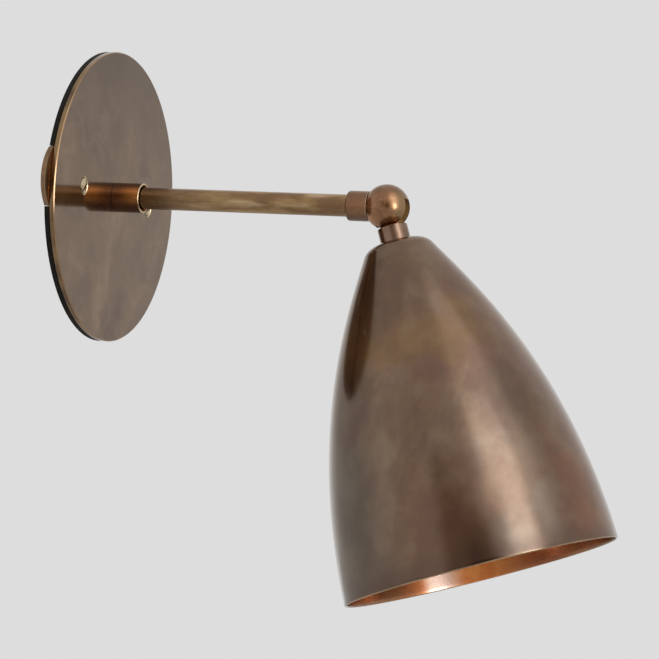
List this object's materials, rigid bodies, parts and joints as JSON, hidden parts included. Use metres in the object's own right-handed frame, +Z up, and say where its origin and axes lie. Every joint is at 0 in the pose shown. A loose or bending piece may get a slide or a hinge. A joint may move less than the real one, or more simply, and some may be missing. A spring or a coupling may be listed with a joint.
{
  "type": "picture light",
  "caption": "Wall-mounted picture light: round wall plate, straight arm, slotted swivel ball and a spun brass shade around a medium-base lampholder.",
  "frame": {"origin": "on the wall surface, in line with the arm's axis, at the middle of the wall plate", "axes": "the wall is the plane y = 0 and +Y points into it; -Y along the arm away from the wall; +Z up; +X to the right seen from the room"},
  "size_m": [0.136, 0.252, 0.2328],
  "materials": {
    "plate_bronze": "polished patinated bronze",
    "tube_bronze": "aged olive-brown brass",
    "collar_bronze": "orange-brown patinated brass",
    "ball_bronze": "golden-brown polished brass",
    "neck_bronze": "pinkish-brown patinated brass",
    "shade_bronze": "dark patinated spun brass, bright inside",
    "strap_brass": "plated strap",
    "raw_brass": "machined brass",
    "black_rubber": "dense black rubber",
    "zinc_steel": "zinc-plated steel",
    "green_paint": "green screw",
    "black_nylon": "moulded nylon",
    "fibre": "red fibre",
    "dark_phenolic": "moulded phenolic",
    "porcelain": "white glaze",
    "lead_sleeve": "woven glass sleeve"
  },
  "bodies": {
    "arm": {"mounting_strap": "strap_brass", "gasket_halves": "black_rubber", "wall_plate": "plate_bronze", "plate_screws": "raw_brass", "ground_screw": "green_paint", "base_nipple": "raw_brass", "toothed_washer": "zinc_steel", "base_nut": "raw_brass", "lead_bushing": "black_nylon", "base_collar": "collar_bronze", "arm_tube": "tube_bronze", "end_collar": "collar_bronze", "arm_leads": "lead_sleeve"},
    "ball": {"swivel_ball": "ball_bronze", "swivel_stud": "raw_brass", "swivel_nut": "raw_brass", "spring_washer": "zinc_steel", "stop_pin": "zinc_steel", "pivot_screws": "ball_bronze", "friction_washers": "fibre"},
    "head": {"swivel_tongue": "raw_brass", "neck_collar": "neck_bronze", "neck_nipple": "raw_brass", "shade": "shade_bronze", "crown_washer": "zinc_steel", "crown_nut": "raw_brass", "holder_cap": "dark_phenolic", "holder_body": "porcelain", "screw_shell": "raw_brass", "centre_contact": "raw_brass", "terminal_screws": "raw_brass", "head_leads": "lead_sleeve"}
  },
  "joints": [
    {"name": "arm_swivel", "type": "hinge", "parent": "arm", "child": "ball", "pos_m": [0, -0.1292, 0], "axis": [0, -1, 0], "range_deg": [-165, 165]},
    {"name": "head_tilt", "type": "hinge", "parent": "ball", "child": "head", "pos_m": [0, -0.1292, 0], "axis": [-1, 0, 0], "range_deg": [-19.3, 70.7]}
  ]
}
